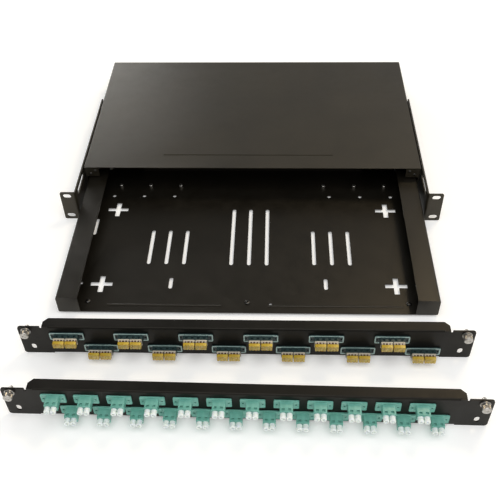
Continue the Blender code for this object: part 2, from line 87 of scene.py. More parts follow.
# Sheet metal
SHEET = 1.2 * MM
COVER_T = 1.0 * MM
BRACKET_T = 2.0 * MM
PLATE_T = 1.6 * MM
BEND_R = 1.9 * MM
COVER_BEND_R = 1.6 * MM
BRACKET_BEND_R = 2.8 * MM
BRACKET_CORNER_R = 2.5 * MM
CORNER_FLANGE = (18.0 * MM, 28.5 * MM)          # width, and height of its lower edge
SIDE_SLOT = (38.0 * MM, 7.0 * MM)
SIDE_SLOT_AT = (31.0 * MM, 34.5 * MM)           # behind the ear's face, and height
COVER_LINE = (-118.0 * MM, 107.0 * MM, 79.0 * MM)   # left and right end, behind the ear's face
COVER_LINE_SIZE = (1.9 * MM, 0.8 * MM)          # width, depth
GROMMET_HOLE_R = 10.0 * MM

# Screws, as radius, height and depth of the recess, and rivets
BRACKET_SCREW = (3.8 * MM, 2.0 * MM, 1.2 * MM)
BRACKET_SCREWS_Y = (66.0 * MM, 150.0 * MM, 195.0 * MM)  # those after the first, behind the ear
DRAWER_SCREW = (3.2 * MM, 1.7 * MM, 1.0 * MM)
RIVETS_AT = ((205.5 * MM, 38.0 * MM), (212.0 * MM, 33.0 * MM))

# Drawer, measured from its front edge
FLANGE_W = 25.0 * MM
BACK_W = 300.0 * MM
SLOT_W = 4.6 * MM
CROSS = (26.0 * MM, 6.2 * MM)                   # size, width of an arm
CROSS_X = 173.6 * MM
CROSS_Y = (42.7 * MM, 174.7 * MM)
LONG_SLOTS = ((-21.5 * MM, 0.0, 21.5 * MM), (75.0 * MM, 176.5 * MM))
SIDE_SLOTS = ((79.0 * MM, 100.5 * MM, 122.0 * MM), (76.0 * MM, 136.0 * MM))
SHORT_SLOTS = ((91.5 * MM,), (36.0 * MM, 54.0 * MM))
EDGE_SLOT = (-197.3 * MM, 127.0 * MM, 157.0 * MM)
REAR_HOLES = ((202.0 * MM, (102.5 * MM, 143.0 * MM, 183.0 * MM)),
              (221.0 * MM, (95.5 * MM, 136.0 * MM, 176.0 * MM)))
REAR_HOLE_R = 2.3 * MM
STUD = (2.6 * MM, 4.0 * MM)                     # radius and height, in the second row of holes
FRONT_SCREW_X = (-185.0 * MM, 185.0 * MM)
SMALL_HOLES = ((26.7 * MM, 13.1 * MM), (-197.6 * MM, 43.6 * MM), (197.6 * MM, 43.6 * MM))
SMALL_HOLE_R = 1.7 * MM
BEAD = (10.4 * MM, 1.4 * MM, 0.75 * MM)         # behind the front edge, half width, height
BEAD_ENDS = ((-162.0 * MM, -30.0 * MM), (24.0 * MM, 178.0 * MM))

# Plates
PLATE_R = 3.5 * MM
PLATE_BEND_R = 2.0 * MM
TOP_FOLD = (430.0 * MM, 11.0 * MM, 5.0 * MM)    # width, depth, cut corner
FOOT_FOLD = (424.0 * MM, 34.0 * MM, 4.0 * MM)
RELIEF = (2.4 * MM, 3.4 * MM)
LATCH_HOLE_R = 3.75 * MM
OVAL = (5.5 * MM, 9.0 * MM)
OVAL_AT = (229.5 * MM, 10.6 * MM)
FOOT_HOLE_Y = PLATE_T + 30.0 * MM
DUPLEX_AT = (2.5 * MM, 299.0 * MM)              # to the right, and ahead of the ears
DUPLEX_TURN = math.radians(-0.8)
ROW_Z = (30.5 * MM, 11.5 * MM)
FIRST_X = -189.75 * MM
QUAD = {"count": 12, "pitch": 34.5 * MM, "flange": (36.8 * MM, 10.6 * MM),
        "body": (26.0 * MM, 9.3 * MM), "front": 8.0 * MM,
        "ports": (-9.4 * MM, -3.2 * MM, 3.2 * MM, 9.4 * MM)}
DUPLEX = {"count": 24, "pitch": 16.5 * MM, "flange": (25.0 * MM, 12.6 * MM),
          "body": (13.0 * MM, 9.3 * MM), "front": 12.5 * MM,
          "ports": (-3.12 * MM, 3.12 * MM)}
ADAPTER_REAR = 13.5 * MM
ADAPTER_FLANGE_T = 1.6 * MM
GAP = 0.3 * MM
FLANGE_HOLE_R = 1.1 * MM
LATCH_WINDOW = (2.8 * MM, 2.8 * MM, 2.0 * MM)   # across, along, deep
LATCH_WINDOW_AT = 0.9 * MM                      # behind the adapter's front
SOCKET = (5.0 * MM, 6.6 * MM, 9.0 * MM)         # across, high, deep
KEYWAY = (2.4 * MM, 1.6 * MM, 4.0 * MM)         # across, nearest and furthest from the rear
RIM = (1.3 * MM, 0.35 * MM)                     # width, height
QUAD_CAP_PITCH = 12.8 * MM
DUPLEX_CAP_PITCH = 6.25 * MM

# Latches
LATCH_BORE_R = 2.5 * MM
LATCH_BARREL_R = 3.7 * MM
LATCH_PIN_R = 2.25 * MM
FLUTES = (24, 0.45 * MM)                        # count, depth

# Camera
LENS = 54.28
PITCH, YAW, ROLL = (math.radians(a) for a in (-44.78, -2.71, -1.52))
CAMERA_AT = (0.0319, -0.7187, 0.6583)           # Y is from the ears' faces


# ---------------------------------------------------------------- materials
def new_material(name):
    """A material, its node tree and its shader."""
    made = bpy.data.materials.new(name)
    made.use_nodes = True
    tree = made.node_tree
    return made, tree, tree.nodes["Principled BSDF"]


def noise(tree, scale, detail=3.0, rough=0.55, stretch=None):
    """Noise in the piece's own coordinates; scale is features per metre."""
    place = tree.nodes.new("ShaderNodeTexCoord").outputs["Object"]
    if stretch:
        mapping = tree.nodes.new("ShaderNodeMapping")
        mapping.inputs["Scale"].default_value = stretch
        tree.links.new(place, mapping.inputs["Vector"])
        place = mapping.outputs["Vector"]
    made = tree.nodes.new("ShaderNodeTexNoise")
    made.inputs["Scale"].default_value = scale
    made.inputs["Detail"].default_value = detail
    made.inputs["Roughness"].default_value = rough
    tree.links.new(place, made.inputs["Vector"])
    return made.outputs["Fac"]


def spread(tree, source, low, high, cut=(0.3, 0.7)):
    """Maps a noise onto a range of numbers."""
    made = tree.nodes.new("ShaderNodeMapRange")
    made.inputs["From Min"].default_value = cut[0]
    made.inputs["From Max"].default_value = cut[1]
    made.inputs["To Min"].default_value = low
    made.inputs["To Max"].default_value = high
    tree.links.new(source, made.inputs["Value"])
    return made.outputs["Result"]


def blend_colours(tree, factor, first, second):
    """Mixes two colours by a factor from 0 to 1."""
    made = tree.nodes.new("ShaderNodeMix")
    made.data_type = "RGBA"
    made.inputs[6].default_value = (*first, 1.0)
    made.inputs[7].default_value = (*second, 1.0)
    tree.links.new(factor, made.inputs[0])
    return made.outputs[2]


def bumps(tree, shader, *layers):
    """Bump layers, each a (source, strength, distance)."""
    below = None
    for source, strength, distance in layers:
        bump = tree.nodes.new("ShaderNodeBump")
        bump.inputs["Strength"].default_value = strength
        bump.inputs["Distance"].default_value = distance
        tree.links.new(source, bump.inputs["Height"])
        if below:
            tree.links.new(below, bump.inputs["Normal"])
        below = bump.outputs["Normal"]
    tree.links.new(below, shader.inputs["Normal"])


def powder_coat(name, dark, light, roughness, gloss, peel=0.10):
    """Baked powder coat: orange peel, fine grit, cloudy colour and gloss."""
    made, tree, shader = new_material(name)
    shader.inputs["Specular IOR Level"].default_value = gloss
    shader.inputs["Specular Tint"].default_value = (1.0, 0.93, 0.80, 1.0)
    cloud = noise(tree, 14.0, 4.0)
    tree.links.new(blend_colours(tree, spread(tree, cloud, 0.0, 1.0), dark, light),
                   shader.inputs["Base Color"])
    smear = noise(tree, 45.0, 5.0, 0.7)
    tree.links.new(spread(tree, smear, roughness - 0.05, roughness + 0.07),
                   shader.inputs["Roughness"])
    bumps(tree, shader, (noise(tree, 520.0, 2.0), peel, 0.25 * MM),
          (noise(tree, 2600.0, 2.0), peel * 0.7, 0.08 * MM))
    return made


def moulded(name, dark, light, roughness, sheen_through=0.0):
    """Injection-moulded plastic with a fine spark-eroded grain."""
    made, tree, shader = new_material(name)
    tone = noise(tree, 160.0, 3.0)
    tree.links.new(blend_colours(tree, spread(tree, tone, 0.0, 1.0), dark, light),
                   shader.inputs["Base Color"])
    tree.links.new(spread(tree, noise(tree, 700.0, 3.0), roughness - 0.05, roughness + 0.08),
                   shader.inputs["Roughness"])
    if sheen_through:
        shader.inputs["Subsurface Weight"].default_value = sheen_through
        shader.inputs["Subsurface Radius"].default_value = (0.004, 0.004, 0.003)
        shader.inputs["Subsurface Scale"].default_value = 0.3
    bumps(tree, shader, (noise(tree, 3800.0, 2.0), 0.12, 0.05 * MM))
    return made


def plated(name, dark, light, roughness):
    """Nickel plate over turned steel, with fine turning marks."""
    made, tree, shader = new_material(name)
    shader.inputs["Metallic"].default_value = 1.0
    tree.links.new(blend_colours(tree, spread(tree, noise(tree, 420.0), 0.0, 1.0), dark, light),
                   shader.inputs["Base Color"])
    tree.links.new(spread(tree, noise(tree, 900.0, 4.0), roughness - 0.06, roughness + 0.12),
                   shader.inputs["Roughness"])
    turning = noise(tree, 240.0, 2.0, 0.5, stretch=(1.0, 1.0, 22.0))
    bumps(tree, shader, (turning, 0.10, 0.05 * MM))
    return made


def amber_cap_material():
    """Translucent amber plastic whose neck is painted wine-dark, by place along the cap's length:
    painted shade in the groove between the lip and the grip.
    """
    made, tree, shader = new_material("amber_dust_cap")
    parts = tree.nodes.new("ShaderNodeSeparateXYZ")
    tree.links.new(tree.nodes.new("ShaderNodeTexCoord").outputs["Object"], parts.inputs[0])
    streak = noise(tree, 300.0, 2.0, 0.5, stretch=(1.0, 0.15, 0.35))
    amber = blend_colours(tree, spread(tree, streak, 0.0, 1.0), (0.47, 0.31, 0.022),
                          (0.64, 0.46, 0.075))
    # the neck, behind the grip, is painted near-black wine: painted shade in the groove there
    depth = spread(tree, parts.outputs["Y"], 0.0, 1.0, cut=(-3.7 * MM, -3.2 * MM))
    neck = tree.nodes.new("ShaderNodeMix")
    neck.data_type = "RGBA"
    tree.links.new(depth, neck.inputs[0])
    tree.links.new(amber, neck.inputs[6])
    neck.inputs[7].default_value = (0.045, 0.008, 0.006, 1.0)
    tree.links.new(neck.outputs[2], shader.inputs["Base Color"])
    tree.links.new(spread(tree, streak, 0.18, 0.32), shader.inputs["Roughness"])
    shader.inputs["Subsurface Weight"].default_value = 0.35
    shader.inputs["Subsurface Radius"].default_value = (0.005, 0.003, 0.001)
    shader.inputs["Subsurface Scale"].default_value = 0.4
    shader.inputs["Coat Weight"].default_value = 0.3
    bumps(tree, shader, (noise(tree, 900.0, 2.0), 0.05, 0.05 * MM))
    return made


def build_materials():
    """Each coat by its short name."""
    return {
        "case": powder_coat("case_powder_coat", (0.012, 0.010, 0.006), (0.020, 0.0165, 0.010),
                            0.40, 0.47),
        "drawer": powder_coat("drawer_powder_coat", (0.0035, 0.003, 0.002), (0.007, 0.0058, 0.004),
                              0.36, 0.42),
        "plate": powder_coat("plate_powder_coat", (0.004, 0.004, 0.0036), (0.008, 0.0074, 0.0066),
                             0.40, 0.20),
        "nickel": plated("nickel_plate", (0.34, 0.32, 0.29), (0.52, 0.50, 0.47), 0.30),
        "dark_screw": plated("black_zinc", (0.05, 0.048, 0.045), (0.10, 0.096, 0.09), 0.36),
        "nylon": moulded("natural_nylon", (0.70, 0.68, 0.61), (0.80, 0.78, 0.72), 0.48, 0.3),
        "rubber": moulded("black_rubber", (0.018, 0.018, 0.018), (0.035, 0.034, 0.033), 0.72),
        "quad_body": moulded("dark_teal_plastic", (0.010, 0.026, 0.028), (0.020, 0.045, 0.045), 0.38),
        "quad_rim": moulded("grey_aqua_plastic", (0.34, 0.48, 0.45), (0.47, 0.62, 0.58), 0.40),
        "duplex": moulded("aqua_plastic", (0.12, 0.37, 0.30), (0.20, 0.48, 0.40), 0.36, 0.15),
        "white": moulded("white_cap_plastic", (0.74, 0.80, 0.78), (0.86, 0.90, 0.88), 0.38, 0.25),
        # pale beige lip: the translucent cap's rim, its paleness partly painted highlight of the top
        # light
        "lip": moulded("lip_plastic_painted_highlight", (0.50, 0.44, 0.34), (0.66, 0.60, 0.48), 0.42, 0.2),
        "amber": amber_cap_material(),
    }


# ---------------------------------------------------------------- mesh helpers
def point(axis, along, a, b):
    """A point of a 2D outline swept along an axis. X takes (Y, Z), Y takes (X, Z), Z takes (X, Y)."""
    return {"X": (along, a, b), "Y": (a, along, b), "Z": (a, b, along)}[axis]


def prism(bm, outline, axis, start, end):
    """Adds a closed prism: an outline swept between two places along an axis."""
    verts = [bm.verts.new(point(axis, start, a, b)) for a, b in outline]
    face = bm.faces.new(verts)
    grown = bmesh.ops.extrude_face_region(bm, geom=[face])["geom"]
    moved = [g for g in grown if isinstance(g, bmesh.types.BMVert)]
    bmesh.ops.translate(bm, verts=moved, vec=Vector(point(axis, end - start, 0, 0)))
    linked = [f for v in verts + moved for f in v.link_faces]
    bmesh.ops.recalc_face_normals(bm, faces=list(dict.fromkeys(linked)))


def add_box(bm, low, high):
    """Adds a box between two corners."""
    low, high = Vector(low), Vector(high)
    place = Matrix.Translation((low + high) / 2) @ Matrix.Diagonal((*(high - low), 1.0))
    bmesh.ops.create_cube(bm, size=1.0, matrix=place)


def arc(centre, radius, start, end, steps):
    """Points of an arc, angles in degrees."""
    return [(centre[0] + radius * math.cos(math.radians(start + (end - start) * i / steps)),
             centre[1] + radius * math.sin(math.radians(start + (end - start) * i / steps)))
            for i in range(steps + 1)]


def disc(centre, radius, steps=28):
    """A circle of points, its first not repeated."""
    return arc(centre, radius, 0, 360 - 360 / steps, steps - 1)


def stadium(centre, wide, tall, steps=10):
    """A round-ended slot, along whichever side is longer."""
    x, y = centre
    if wide >= tall:
        reach = (wide - tall) / 2
        return (arc((x + reach, y), tall / 2, -90, 90, steps)
                + arc((x - reach, y), tall / 2, 90, 270, steps))
    reach = (tall - wide) / 2
    return (arc((x, y + reach), wide / 2, 0, 180, steps)
            + arc((x, y - reach), wide / 2, 180, 360, steps))


def rounded(x0, x1, y0, y1, radius, steps=5):
    """A rectangle with round corners."""
    return (arc((x1 - radius, y0 + radius), radius, -90, 0, steps)
            + arc((x1 - radius, y1 - radius), radius, 0, 90, steps)
            + arc((x0 + radius, y1 - radius), radius, 90, 180, steps)
            + arc((x0 + radius, y0 + radius), radius, 180, 270, steps))


def cross(centre, size, arm):
    """A cross with square ends."""
    x, y = centre
    a, b = arm / 2, size / 2
    return [(x + p, y + q) for p, q in ((-a, -b), (a, -b), (a, -a), (b, -a), (b, a), (a, a), (a, b),
                                        (-a, b), (-a, a), (-b, a), (-b, -a), (-a, -a))]


def bend(points, radius, steps=5):
    """A path whose inner corners are rounded to a bend radius."""
    path = [Vector(points[0])]
    for before, at, after in zip(points, points[1:], points[2:]):
        before, at, after = Vector(before), Vector(at), Vector(after)
        back, on = (before - at).normalized(), (after - at).normalized()
        half = back.angle(on) / 2
        reach = radius / math.tan(half)
        centre = at + (back + on).normalized() * radius / math.sin(half)
        first, last = at + back * reach - centre, at + on * reach - centre
        turn = first.angle_signed(last)
        for i in range(steps + 1):
            path.append(centre + Matrix.Rotation(-turn * i / steps, 2) @ first)
    path.append(Vector(points[-1]))
    return path


def sheet_outline(path, thickness):
    """A closed outline: the path, and the same path offset to its right by the thickness."""
    ways = [(b - a).normalized() for a, b in zip(path, path[1:])]
    inner = []
    for i, at in enumerate(path):
        normals = [Vector((way.y, -way.x)) for way in ways[max(i - 1, 0):i + 1]]
        mean = sum(normals, Vector((0, 0))).normalized()
        inner.append(at + mean * thickness / max(mean.dot(normals[0]), 0.3))
    return [tuple(p) for p in path] + [tuple(p) for p in reversed(inner)]


def mesh_object(name, bm):
    """An object in the scene from a bmesh, which is freed."""
    mesh = bpy.data.meshes.new(name)
    bm.to_mesh(mesh)
    bm.free()
    made = bpy.data.objects.new(name, mesh)
    bpy.context.scene.collection.objects.link(made)
    return made


def apply_modifiers(obj):
    """Bakes an object's modifiers into its mesh."""
    graph = bpy.context.evaluated_depsgraph_get()
    mesh = bpy.data.meshes.new_from_object(obj.evaluated_get(graph))
    old = obj.data
    obj.modifiers.clear()
    obj.data = mesh
    bpy.data.meshes.remove(old)


def combine(obj, tool_bm, operation):
    """Joins or cuts at once, and removes the tool."""
    tool = mesh_object("tool", tool_bm)
    step = obj.modifiers.new("combine", "BOOLEAN")
    step.operation = operation
    step.solver = "EXACT"
    step.object = tool
    apply_modifiers(obj)
    bpy.data.objects.remove(tool, do_unlink=True)


def soften(obj, width, segments=2):
    """Rounded edges and even shading."""
    bevel = obj.modifiers.new("edges", "BEVEL")
    bevel.width = width
    bevel.segments = segments
    bevel.limit_method = "ANGLE"
    bevel.angle_limit = math.radians(38)
    bevel.miter_outer = "MITER_ARC"
    bevel.harden_normals = True
    obj.data.shade_smooth()


def present(obj, finish, body, replaced=(), place=None):
    """Gives a piece its material, place, body and the nodes that it stands for."""
    obj.data.materials.clear()
    obj.data.materials.append(finish)
    if place is not None:
        obj.matrix_world = place
    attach(obj, body)
    if replaced:
        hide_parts(*replaced)


def turned(name, profile, steps=48, flutes=0, depth=0.0, flute_span=None):
    """A solid turned round its own Z from (radius, z) points, top to bottom, with optional flutes."""
    bm = bmesh.new()
    rings = []
    for radius, z in profile:
        if radius < EPS:
            rings.append([bm.verts.new((0, 0, z))])
            continue
        ring = []
        for i in range(steps):
            angle = 2 * math.pi * i / steps
            fluted = flutes and flute_span[0] - EPS <= z <= flute_span[1] + EPS
            r = radius - (depth * (0.5 - 0.5 * math.cos(flutes * angle)) if fluted else 0.0)
            ring.append(bm.verts.new((r * math.cos(angle), r * math.sin(angle), z)))
        rings.append(ring)
    if profile[0] == profile[-1]:
        rings[-1] = rings[0]
    for upper, lower in zip(rings, rings[1:]):
        for i in range(steps):
            j = (i + 1) % steps
            if len(upper) == 1:
                bm.faces.new((upper[0], lower[i], lower[j]))
            elif len(lower) == 1:
                bm.faces.new((upper[i], lower[0], upper[j]))
            else:
                bm.faces.new((upper[i], lower[i], lower[j], upper[j]))
    loose = [v for v in bm.verts if not v.link_faces]
    bmesh.ops.delete(bm, geom=loose, context="VERTS")
    bmesh.ops.recalc_face_normals(bm, faces=bm.faces)
    made = mesh_object(name, bm)
    made.data.shade_smooth()
    made.data.set_sharp_from_angle(angle=math.radians(42))
    return made


def copy_of(name, source):
    """Another object with the same mesh."""
    made = bpy.data.objects.new(name, source.data)
    bpy.context.scene.collection.objects.link(made)
    return made


FACING_FRONT = Matrix.Rotation(math.pi / 2, 4, "X")     # turns a piece's own +Z to the front


# ---------------------------------------------------------------- the case
def build_chassis(finish):
    """Floor and side walls from one sheet, the rear wall and the two front corner flanges."""
    half, top = CHASSIS_HI.x, CHASSIS_HI.z
    front, rear = CHASSIS_LO.y, CHASSIS_HI.y
    bm = bmesh.new()
    path = bend([(half, top), (half, 0), (-half, 0), (-half, top)], BEND_R)
    prism(bm, sheet_outline(path, SHEET), "Y", front, rear)
    chassis = mesh_object("case_chassis", bm)
    bm = bmesh.new()
    add_box(bm, (-half + SHEET / 2, rear - SHEET, SHEET / 2), (half - SHEET / 2, rear, top))
    for side in (LEFT, RIGHT):
        edge = sorted((side * (half - CORNER_FLANGE[0]), side * (half - SHEET / 2)))
        add_box(bm, (edge[0], front, CORNER_FLANGE[1]), (edge[1], front + SHEET, top))
    combine(chassis, bm, "UNION")
    bm = bmesh.new()
    grommet = (GROMMET_LO + GROMMET_HI) / 2
    for side in (LEFT, RIGHT):
        prism(bm, disc((side * grommet.x, grommet.z), GROMMET_HOLE_R, 36), "Y",
              rear - 4 * MM, rear + 2 * MM)
    combine(chassis, bm, "DIFFERENCE")
    soften(chassis, 0.3 * MM)
    present(chassis, finish["case"], "case", ["chassis"])


def build_cover(finish):
    """A folded lid with a shallow line pressed across it."""
    half, top = COVER_HI.x, COVER_HI.z
    bm = bmesh.new()
    path = bend([(-half, COVER_LO.z), (-half, top), (half, top), (half, COVER_LO.z)], COVER_BEND_R)
    prism(bm, sheet_outline(path, COVER_T), "Y", COVER_LO.y, COVER_HI.y)
    cover = mesh_object("case_cover", bm)
    bm = bmesh.new()
    start, end, behind = COVER_LINE
    width, deep = COVER_LINE_SIZE
    prism(bm, stadium(((start + end) / 2, EAR_FACE + behind), end - start, width), "Z",
          top - deep, top + MM)
    combine(cover, bm, "DIFFERENCE")
    soften(cover, 0.25 * MM)
    present(cover, finish["case"], "case", ["top_cover"])


def build_brackets(finish):
    """Right bracket, and its mirror image on the left."""
    inner, outer = BRACKET_LO.x, BRACKET_HI.x
    bm = bmesh.new()
    path = bend([(inner, BRACKET_HI.y), (inner, EAR_FACE), (outer, EAR_FACE)], BRACKET_BEND_R)
    mirrored = [Vector((-p.x, p.y)) for p in path]
    prism(bm, [(-x, y) for x, y in sheet_outline(mirrored, BRACKET_T)], "Z", 0, UNIT_H)
    right = mesh_object("bracket_right", bm)
    bm = bmesh.new()
    for z, way in ((0, 1), (UNIT_H, -1)):
        prism(bm, corner_waste((outer, z), BRACKET_CORNER_R, -1, way), "Y",
              EAR_FACE - MM, EAR_FACE + BRACKET_T + MM)
    for z in (RACK_HOLE[1] - RACK_SLOT_DROP, RACK_HOLE[1]):
        prism(bm, stadium((RACK_HOLE[0], z), *RACK_SLOT), "Y",
              EAR_FACE - MM, EAR_FACE + BRACKET_T + MM)
    prism(bm, stadium((EAR_FACE + SIDE_SLOT_AT[0], SIDE_SLOT_AT[1]), *SIDE_SLOT), "X",
          inner - MM, inner + BRACKET_T + MM)
    combine(right, bm, "DIFFERENCE")
    bm = bmesh.new()
    bm.from_mesh(right.data)
    bmesh.ops.transform(bm, matrix=Matrix.Scale(-1, 4, (1, 0, 0)), verts=bm.verts)
    bmesh.ops.reverse_faces(bm, faces=bm.faces)
    left = mesh_object("bracket_left", bm)
    for made, word in ((right, "right"), (left, "left")):
        soften(made, 0.3 * MM)
        present(made, finish["case"], "case", [word + "_rack_bracket"])


def corner_waste(corner, radius, way_x, way_y, steps=6):
    """What is cut off a square corner to round it. The ways point from the corner into the sheet."""
    x, y = corner
    over = 0.5 * MM
    centre = (x + way_x * radius, y + way_y * radius)
    round_part = [(centre[0] - way_x * radius * math.cos(math.pi / 2 * i / steps),
                   centre[1] - way_y * radius * math.sin(math.pi / 2 * i / steps))
                  for i in range(steps + 1)]
    return (round_part + [(centre[0], y - way_y * over), (x - way_x * over, y - way_y * over),
                          (x - way_x * over, centre[1])])


def screw_source(name, radius, height, recess):
    """A pan head with a cross recess, its underside at its own origin."""
    made = turned(name, [(0, height), (radius * 0.45, height * 0.97), (radius * 0.78, height * 0.78),
                         (radius * 0.96, height * 0.42), (radius, 0.12 * height), (radius, 0),
                         (0, 0)], 36)
    bm = bmesh.new()
    prism(bm, cross((0, 0), radius * 1.15, radius * 0.30), "Z", height - recess, height + MM)
    combine(made, bm, "DIFFERENCE")
    made.data.shade_smooth()
    made.data.set_sharp_from_angle(angle=math.radians(35))
    return made


def build_bracket_screws(finish):
    """Four screws in each bracket's side, the first of them in the frame's place."""
    head = screw_source("bracket_screw_right_1", *BRACKET_SCREW)
    at = (SCREW_LO + SCREW_HI) / 2
    seat = BRACKET_LO.x + BRACKET_T + SEATING
    places = [at.y] + [EAR_FACE + y for y in BRACKET_SCREWS_Y]
    for side, word in ((RIGHT, "right"), (LEFT, "left")):
        for i, y in enumerate(places):
            name = f"bracket_screw_{word}_{i + 1}"
            made = head if name == head.name else copy_of(name, head)
            turn = Matrix.Rotation(side * math.pi / 2, 4, "Y")
            spin = Matrix.Rotation(math.radians(20 + 37 * i), 4, "Z")
            place = Matrix.Translation((side * seat, y, at.z)) @ turn @ spin
            node = [f"{word}_bracket_screw"] if i == 0 else ()
            present(made, finish["nickel"], "case", node, place)


def build_corner_rivets(finish):
    """Two rivets through each front corner flange."""
    rivet = turned("corner_rivet_right_1", [(0, 0.9 * MM), (0.9 * MM, 0.75 * MM),
                                            (1.6 * MM, 0.3 * MM), (1.8 * MM, 0), (0, 0)], 24)
    for side, word in ((RIGHT, "right"), (LEFT, "left")):
        for i, (x, z) in enumerate(RIVETS_AT):
            name = f"corner_rivet_{word}_{i + 1}"
            made = rivet if name == rivet.name else copy_of(name, rivet)
            place = Matrix.Translation((side * x, CHASSIS_LO.y - EPS, z)) @ FACING_FRONT
            present(made, finish["dark_screw"], "case", (), place)


def build_drawer_fixings(finish):
    """Three screws along the drawer's front, and studs in its second row of rear holes."""
    centre = (TRAY_SCREW_LO + TRAY_SCREW_HI) / 2
    floor_top = TRAY_LO.z + SHEET
    small = screw_source("drawer_screw_centre", *DRAWER_SCREW)
    for name, x in (("drawer_screw_centre", 0.0), ("drawer_screw_left", FRONT_SCREW_X[0]),
                    ("drawer_screw_right", FRONT_SCREW_X[1])):
        made = small if name == small.name else copy_of(name, small)
        turn = Matrix.Rotation(math.radians(15 + x * 300), 4, "Z")
        place = Matrix.Translation((x, centre.y, floor_top + SEATING)) @ turn
        node = ["tray_centre_screw"] if x == 0.0 else ()
        coat = "nickel" if x == 0.0 else "dark_screw"
        present(made, finish[coat], "drawer", node, place)

    radius, height = STUD
    shank = REAR_HOLE_R - 0.1 * MM
    stud = turned("cassette_stud_right_1", [(0, height), (radius - 0.4 * MM, height),
                                            (radius, height - 0.4 * MM), (radius, 0), (shank, 0),
                                            (shank, -SHEET), (0, -SHEET)], 24)
    y, xs = REAR_HOLES[1]
    for side, word in ((RIGHT, "right"), (LEFT, "left")):
        for i, x in enumerate(xs):
            name = f"cassette_stud_{word}_{i + 1}"
            made = stud if name == stud.name else copy_of(name, stud)
            place = Matrix.Translation((side * x, TRAY_LO.y + y, floor_top))
            present(made, finish["nickel"], "drawer", (), place)


def build_grommets(finish):
    """Rubber rings with a rounded lip, in the rear wall."""
    middle = (GROMMET_LO + GROMMET_HI) / 2
    outer = (GROMMET_HI.x - GROMMET_LO.x) / 2
    reach = (GROMMET_HI.y - GROMMET_LO.y) / 2
    bore, waist, groove = 7.0 * MM, 9.7 * MM, SHEET / 2 + 0.1 * MM
    lip = 0.8 * MM
    half = ([(bore, reach - lip), (bore + 0.3 * lip, reach - 0.3 * lip), (bore + lip, reach),
             (outer - lip, reach), (outer - 0.3 * lip, reach - 0.3 * lip), (outer, reach - lip),
             (outer, groove), (waist, groove)])
    profile = half + [(r, -z) for r, z in reversed(half)]
    profile.append(profile[0])
    for side, word in ((RIGHT, "right"), (LEFT, "left")):
        made = turned("grommet_" + word, profile, 48)
        place = Matrix.Translation((side * middle.x, middle.y, middle.z)) @ FACING_FRONT
        present(made, finish["rubber"], "case", [word + "_cable_grommet"], place)


# ---------------------------------------------------------------- the drawer
def drawer_shell():
    """The folded tray with its front tabs, rear wall and beads, its own front edge at Y = 0."""
    half, height = TRAY_HI.x, TRAY_HI.z - TRAY_LO.z
    depth = TRAY_HI.y - TRAY_LO.y
    bm = bmesh.new()
    path = bend([(half - FLANGE_W, height), (half, height), (half, 0), (-half, 0), (-half, height),
                 (-half + FLANGE_W, height)], BEND_R)
    prism(bm, sheet_outline(path, SHEET), "Y", 0, depth)
    tray = mesh_object("drawer", bm)
    bm = bmesh.new()
    for side in (LEFT, RIGHT):
        edge = sorted((side * (half - FLANGE_W), side * (half - SHEET / 2)))
        add_box(bm, (edge[0], 0, SHEET / 2), (edge[1], SHEET, height - SHEET / 2))
    add_box(bm, (-BACK_W / 2, depth - SHEET, SHEET / 2), (BACK_W / 2, depth, height))
    at, reach, rise = BEAD
    bead = [(at + reach * math.cos(math.radians(a)), SHEET - 0.3 * MM + (rise + 0.3 * MM)
             * math.sin(math.radians(a))) for a in range(0, 181, 20)]
    for start, end in BEAD_ENDS:
        prism(bm, bead, "X", start, end)
    combine(tray, bm, "UNION")
    return tray


def build_drawer(finish):
    """The tray with the slots, crosses and holes of its floor."""
    tray = drawer_shell()
    low, high = -2 * MM, 4 * MM
    bm = bmesh.new()
    x, start, end = EDGE_SLOT
    prism(bm, stadium((x, (start + end) / 2), SLOT_W, end - start), "Z", low, high)
    for group, sides in ((LONG_SLOTS, (RIGHT,)), (SIDE_SLOTS, (LEFT, RIGHT)),
                         (SHORT_SLOTS, (LEFT, RIGHT))):
        xs, (start, end) = group
        for side in sides:
            for x in xs:
                prism(bm, stadium((side * x, (start + end) / 2), SLOT_W, end - start),
                      "Z", low, high)
    for side in (LEFT, RIGHT):
        for y in CROSS_Y:
            prism(bm, cross((side * CROSS_X, y), *CROSS), "Z", low, high)
        for y, xs in REAR_HOLES:
            for x in xs:
                prism(bm, disc((side * x, y), REAR_HOLE_R, 20), "Z", low, high)
    for x, y in SMALL_HOLES:
        prism(bm, disc((x, y), SMALL_HOLE_R, 16), "Z", low, high)
    combine(tray, bm, "DIFFERENCE")
    soften(tray, 0.3 * MM)
    present(tray, finish["drawer"], "drawer", ["drawer_tray"],
            Matrix.Translation((0, TRAY_LO.y, TRAY_LO.z)))


# ---------------------------------------------------------------- the plates
def adapter_places(kind):
    """Centres of a plate's adapters, in turn in the upper and the lower row."""
    return [(FIRST_X + kind["pitch"] * i, ROW_Z[i % 2]) for i in range(kind["count"])]


